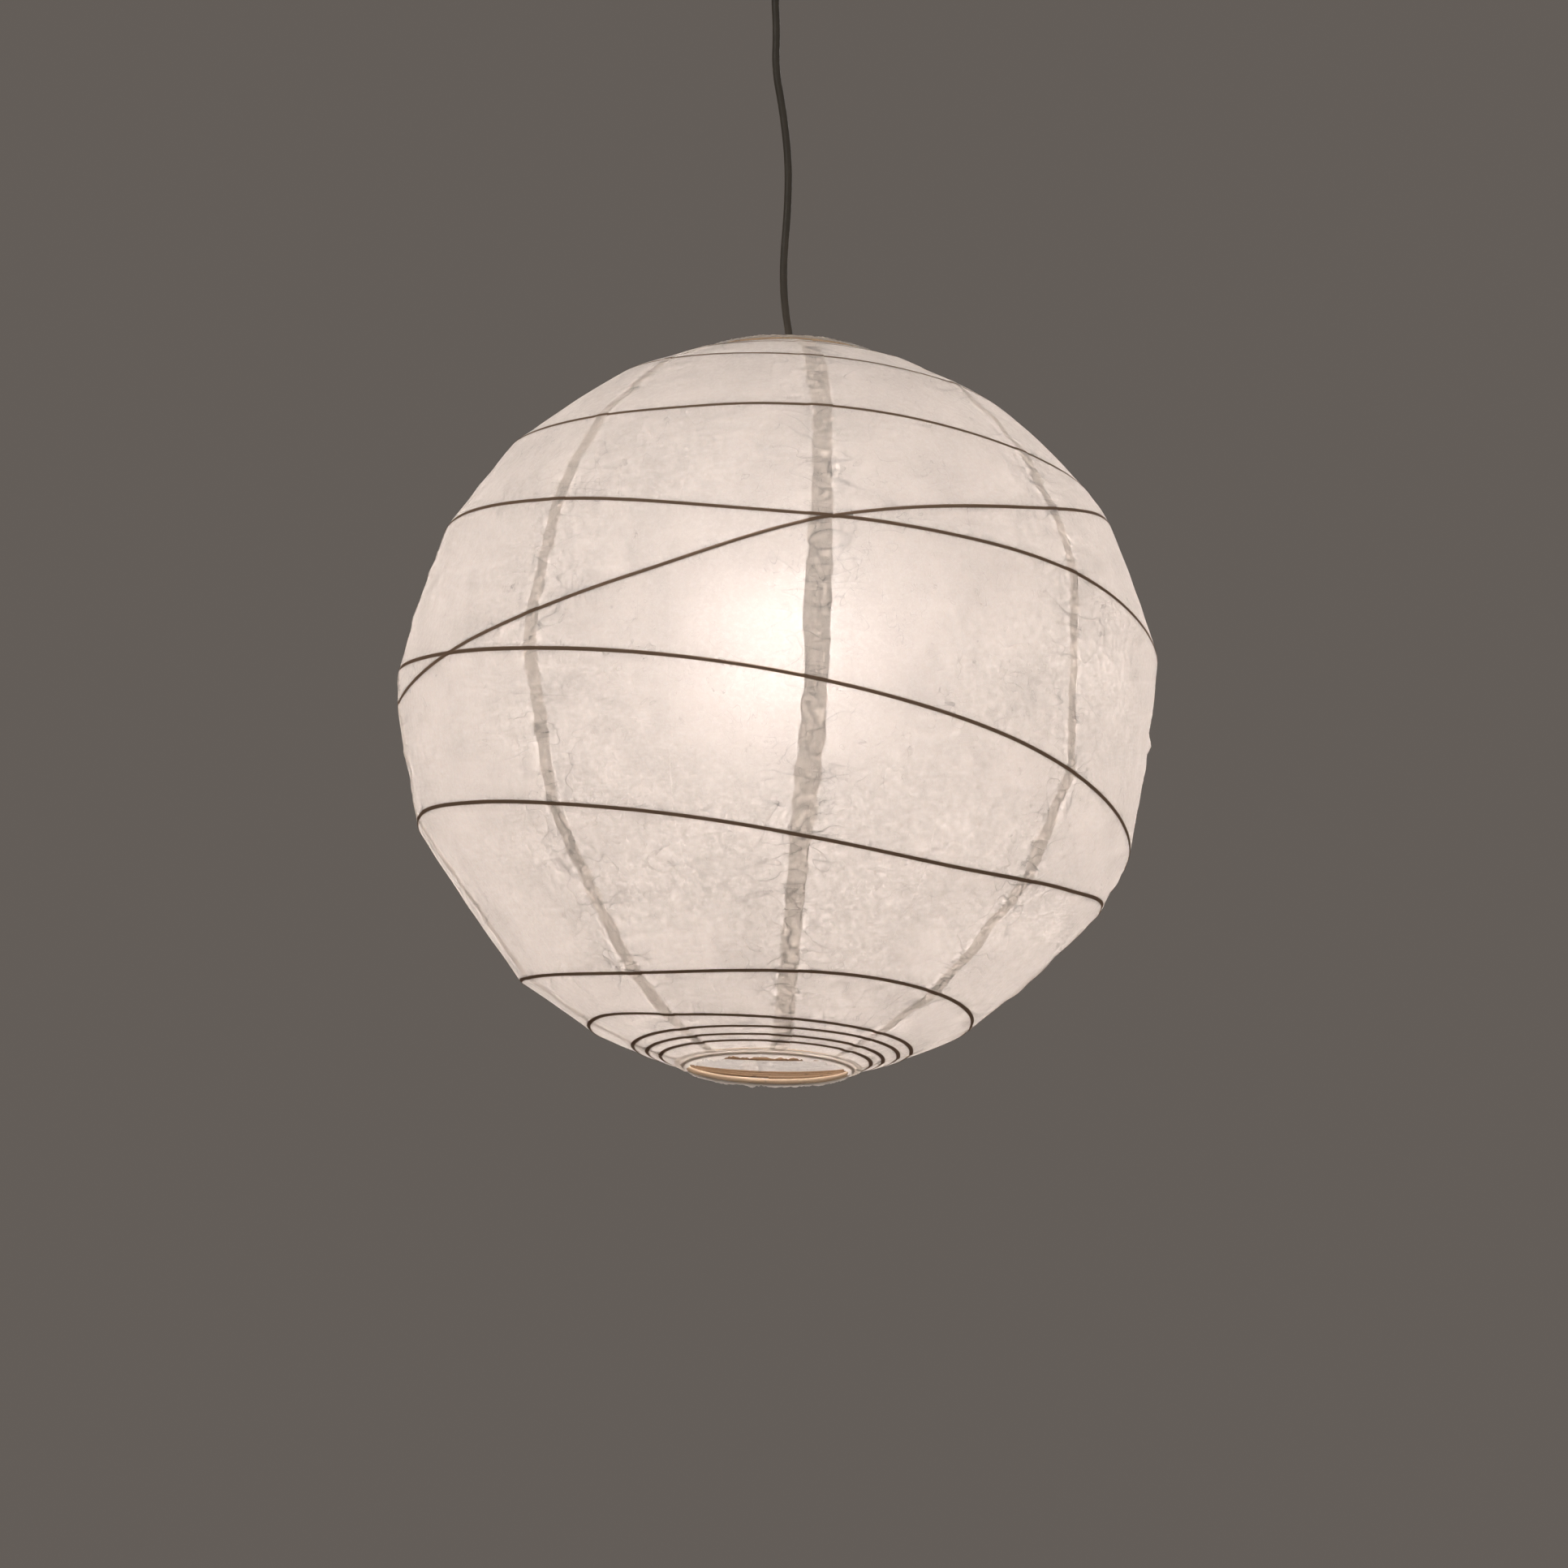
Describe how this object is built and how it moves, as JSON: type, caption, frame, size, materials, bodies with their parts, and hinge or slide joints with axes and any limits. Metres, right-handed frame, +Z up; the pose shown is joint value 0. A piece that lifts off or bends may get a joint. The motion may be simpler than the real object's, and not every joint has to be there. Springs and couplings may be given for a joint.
{
  "type": "paper lantern pendant lamp",
  "caption": "Round hanging washi paper lantern on a spiral bamboo rib, with wire stretcher, lampholder, bulb, cord and ceiling cup.",
  "frame": {"origin": "middle of the ceiling strap's upper face, where it meets the ceiling, midway between its two screw holes", "axes": "+Z up, +X to the right as the lantern is seen from its front, -Y towards the viewer"},
  "size_m": [0.5999, 0.6, 0.9579],
  "materials": {
    "washi": "matte",
    "hem_paper": "matte",
    "bamboo": "satin",
    "rib_bamboo": "satin",
    "spring_wire": "satin",
    "cord_sheath": "matte",
    "core_insulation": "satin",
    "holder_moulding": "satin",
    "porcelain": "gloss",
    "brass": "satin",
    "steel": "satin",
    "cup_paint": "satin",
    "nylon": "matte",
    "grommet_rubber": "matte",
    "bulb_cap_metal": "satin",
    "bulb_insulator_glass": "gloss",
    "bulb_driver": "satin",
    "opal_glass": "gloss"
  },
  "bodies": {
    "ceiling_fitting": {"ceiling_strap": "steel", "ceiling_cup": "cup_paint", "cup_screws": "steel", "cord_anchor": "nylon", "anchor_screws": "steel", "terminal_block": "nylon", "terminal_screws": "brass", "supply_cores": "core_insulation", "cord_tail": "cord_sheath"},
    "outlet": {"outlet_grommet": "grommet_rubber"},
    "pendant": {"cord": "cord_sheath", "holder_cap": "holder_moulding", "holder_grip_screw": "steel", "holder_cores": "core_insulation", "holder_terminals": "brass", "holder_insert": "porcelain", "holder_contact": "brass", "holder_screw_shell": "brass", "holder_body": "holder_moulding", "shade_ring": "holder_moulding"},
    "bulb_tip": {"bulb_contact": "bulb_cap_metal"},
    "bulb": {"bulb_insulator": "bulb_insulator_glass", "bulb_cap": "bulb_cap_metal", "bulb_led_mast": "bulb_driver", "bulb_globe": "opal_glass"},
    "shade": {"stretcher_eye": "spring_wire", "stretcher_crossbars": "spring_wire", "stretcher_leg_left": "spring_wire", "stretcher_leg_right": "spring_wire", "top_ring": "bamboo", "top_hem": "hem_paper", "rib_1": "rib_bamboo", "rib_2": "rib_bamboo", "rib_3": "rib_bamboo", "rib_4": "rib_bamboo", "rib_5": "rib_bamboo", "rib_6": "rib_bamboo", "rib_7": "rib_bamboo", "rib_8": "rib_bamboo", "rib_9": "rib_bamboo", "paper_gore_1": "washi", "paper_gore_2": "washi", "paper_gore_3": "washi", "paper_gore_4": "washi", "paper_gore_5": "washi", "paper_gore_6": "washi", "paper_gore_7": "washi", "paper_gore_8": "washi"},
    "lower_ring": {"bottom_ring": "bamboo", "bottom_hem": "hem_paper"}
  },
  "joints": [
    {"name": "swing_side", "type": "hinge", "parent": "ceiling_fitting", "child": "outlet", "pos_m": [0, 0, -0.054], "axis": [0, 1, 0], "range_deg": [-18, 18]},
    {"name": "swing_fore", "type": "hinge", "parent": "outlet", "child": "pendant", "pos_m": [0, 0, -0.054], "axis": [1, 0, 0], "range_deg": [-18, 18]},
    {"name": "shade_turn", "type": "hinge", "parent": "pendant", "child": "shade", "pos_m": [-0.00085, 0, -0.66939], "axis": [0.0371, 0, 0.9993], "continuous": true},
    {"name": "shade_fold", "type": "slide", "parent": "shade", "child": "lower_ring", "axis": [0.0371, 0, 0.9993], "range_m": [0, 0.523], "deforming": ["paper_gore_1", "paper_gore_2", "paper_gore_3", "paper_gore_4", "paper_gore_5", "paper_gore_6", "paper_gore_7", "paper_gore_8", "rib_1", "rib_2", "rib_3", "rib_4", "rib_5", "rib_6", "rib_7", "rib_8", "rib_9", "stretcher_leg_left", "stretcher_leg_right", "stretcher_crossbars"]},
    {"name": "bulb_unscrew", "type": "slide", "parent": "pendant", "child": "bulb_tip", "axis": [-0.0371, 0, -0.9993], "range_m": [0, 0.01815]},
    {"name": "bulb_turn", "type": "hinge", "parent": "bulb_tip", "child": "bulb", "pos_m": [-0.00085, 0, -0.66939], "axis": [-0.0371, 0, -0.9993], "range_deg": [0, 1800]}
  ],
  "couplings": [
    {"joint": "bulb_turn", "follows": "bulb_unscrew", "rad_per_m": 1730.9}
  ]
}
